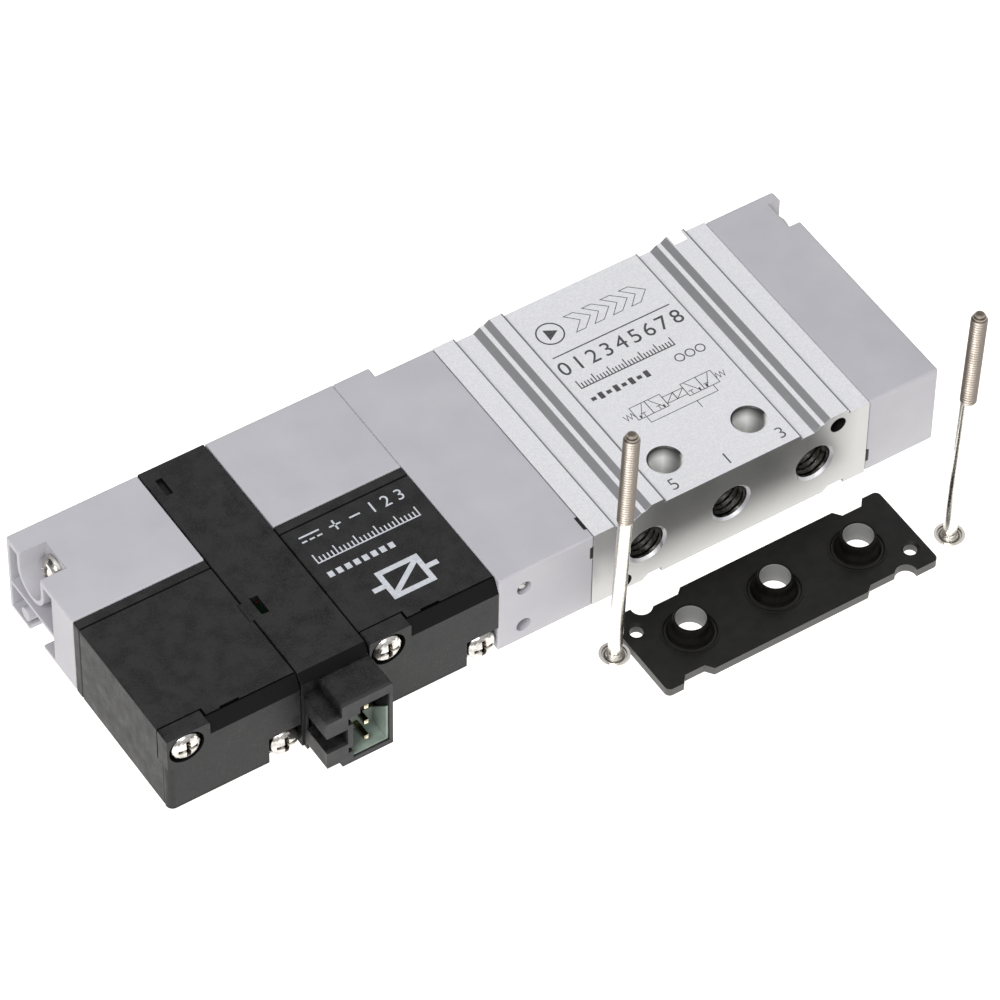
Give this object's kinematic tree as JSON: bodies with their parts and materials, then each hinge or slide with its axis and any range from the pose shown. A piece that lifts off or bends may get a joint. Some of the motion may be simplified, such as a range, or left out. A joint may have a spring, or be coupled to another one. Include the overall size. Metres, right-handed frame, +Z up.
{
  "type": "solenoid directional valve",
  "caption": "Double solenoid pilot-operated air valve with body ports, a plug socket between the solenoids, and its loose base gasket and long mounting screws.",
  "frame": {"origin": "middle of the valve body's underside: on the middle port's axis in X, half the body's width in Y, and the resting plane in Z", "axes": "+X from the pilot solenoids towards the end cap, -Y out of the face with the middle supply port, +Z up out of the label face"},
  "size_m": [0.1092, 0.0545, 0.0395],
  "materials": {
    "body_aluminium": "bright satin anodised, fine horizontal grain",
    "light_plastic": "satin moulded, slightly lavender light grey",
    "black_plastic": "fine matte moulding texture",
    "plated_steel": "bright nickel plate",
    "ball_steel": "polished",
    "black_rubber": "matte moulded rubber",
    "spool_aluminium": "ground",
    "spring_steel": "drawn wire",
    "soft_iron": "turned",
    "bobbin_plastic": "natural moulding",
    "copper_wire": "enamelled copper",
    "yoke_steel": "zinc-plated strip",
    "board_laminate": "green laminate",
    "board_parts": "moulded component bodies",
    "contact_gold": "gold-plated",
    "carrier_plastic": "grey-green moulding"
  },
  "bodies": {
    "valve": {"adapter_plate": "light_plastic", "adapter_screws": "plated_steel", "armature_spring_left": "spring_steel", "armature_spring_right": "spring_steel", "board_components": "board_parts", "bobbin_left": "bobbin_plastic", "bobbin_right": "bobbin_plastic", "body_gasket_left": "black_rubber", "body_gasket_right": "black_rubber", "circuit_board": "board_laminate", "coil_back_frame_left": "black_plastic", "coil_back_frame_right": "black_plastic", "coil_front_cover_left": "black_plastic", "coil_front_cover_right": "black_plastic", "coil_moulding_left": "black_plastic", "coil_moulding_right": "black_plastic", "coil_screws": "plated_steel", "contact_backing": "black_plastic", "contact_carrier": "carrier_plastic", "contact_pins": "contact_gold", "end_cap": "light_plastic", "end_cap_screws": "plated_steel", "fixed_core_left": "soft_iron", "fixed_core_right": "soft_iron", "gallery_ball": "ball_steel", "override_spring_left": "spring_steel", "override_spring_right": "spring_steel", "pilot_block": "light_plastic", "pilot_gasket": "black_rubber", "pilot_o_ring_left": "black_rubber", "pilot_o_ring_right": "black_rubber", "pilot_screw": "plated_steel", "socket_housing": "black_plastic", "spool_spring_left": "spring_steel", "spool_spring_right": "spring_steel", "terminal_cover": "black_plastic", "valve_body": "body_aluminium", "winding_left": "copper_wire", "winding_right": "copper_wire", "yoke_left": "yoke_steel", "yoke_plate_left": "yoke_steel", "yoke_plate_right": "yoke_steel", "yoke_right": "yoke_steel"},
    "spool_left": {"spool_left": "spool_aluminium", "spool_seals_left": "black_rubber", "piston_seal_left": "black_rubber"},
    "spool_right": {"spool_right": "spool_aluminium", "spool_seals_right": "black_rubber", "piston_seal_right": "black_rubber"},
    "armature_left": {"armature_left": "soft_iron", "armature_seal_left": "black_rubber"},
    "armature_right": {"armature_right": "soft_iron", "armature_seal_right": "black_rubber"},
    "override_left": {"override_button_left": "plated_steel", "override_seal_left": "black_rubber"},
    "override_right": {"override_button_right": "plated_steel", "override_seal_right": "black_rubber"},
    "base_gasket": {"base_gasket": "black_rubber"},
    "mounting_screw_left": {"mounting_screw_left": "plated_steel"},
    "mounting_screw_right": {"mounting_screw_right": "plated_steel"}
  },
  "joints": [
    {"name": "spool_left_slide", "type": "slide", "parent": "valve", "child": "spool_left", "axis": [-1, 0, 0], "range_m": [0, 0.003], "stiffness_N_per_m": 900, "springref_m": -0.002, "deforming": ["spool_spring_left"]},
    {"name": "spool_right_slide", "type": "slide", "parent": "valve", "child": "spool_right", "axis": [1, 0, 0], "range_m": [0, 0.003], "stiffness_N_per_m": 900, "springref_m": -0.002, "deforming": ["spool_spring_right"]},
    {"name": "armature_left_slide", "type": "slide", "parent": "valve", "child": "armature_left", "axis": [0, -1, 0], "range_m": [0, 0.0005], "stiffness_N_per_m": 600, "springref_m": -0.0015, "deforming": ["armature_spring_left"]},
    {"name": "armature_right_slide", "type": "slide", "parent": "valve", "child": "armature_right", "axis": [0, -1, 0], "range_m": [0, 0.0005], "stiffness_N_per_m": 600, "springref_m": -0.0015, "deforming": ["armature_spring_right"]},
    {"name": "override_left_press", "type": "slide", "parent": "valve", "child": "override_left", "axis": [0, -1, 0], "range_m": [0, 0.0008], "stiffness_N_per_m": 800, "springref_m": -0.0015, "deforming": ["override_spring_left"]},
    {"name": "override_right_press", "type": "slide", "parent": "valve", "child": "override_right", "axis": [0, -1, 0], "range_m": [0, 0.0008], "stiffness_N_per_m": 800, "springref_m": -0.0015, "deforming": ["override_spring_right"]},
    {"name": "base_gasket_lift", "type": "slide", "parent": "valve", "child": "base_gasket", "axis": [0, 0, 1], "range_m": [0, 0.05]},
    {"name": "mounting_screw_left_lift", "type": "slide", "parent": "valve", "child": "mounting_screw_left", "axis": [0, 0, 1], "range_m": [0, 0.05]},
    {"name": "mounting_screw_right_lift", "type": "slide", "parent": "valve", "child": "mounting_screw_right", "axis": [0, 0, 1], "range_m": [0, 0.05]}
  ]
}
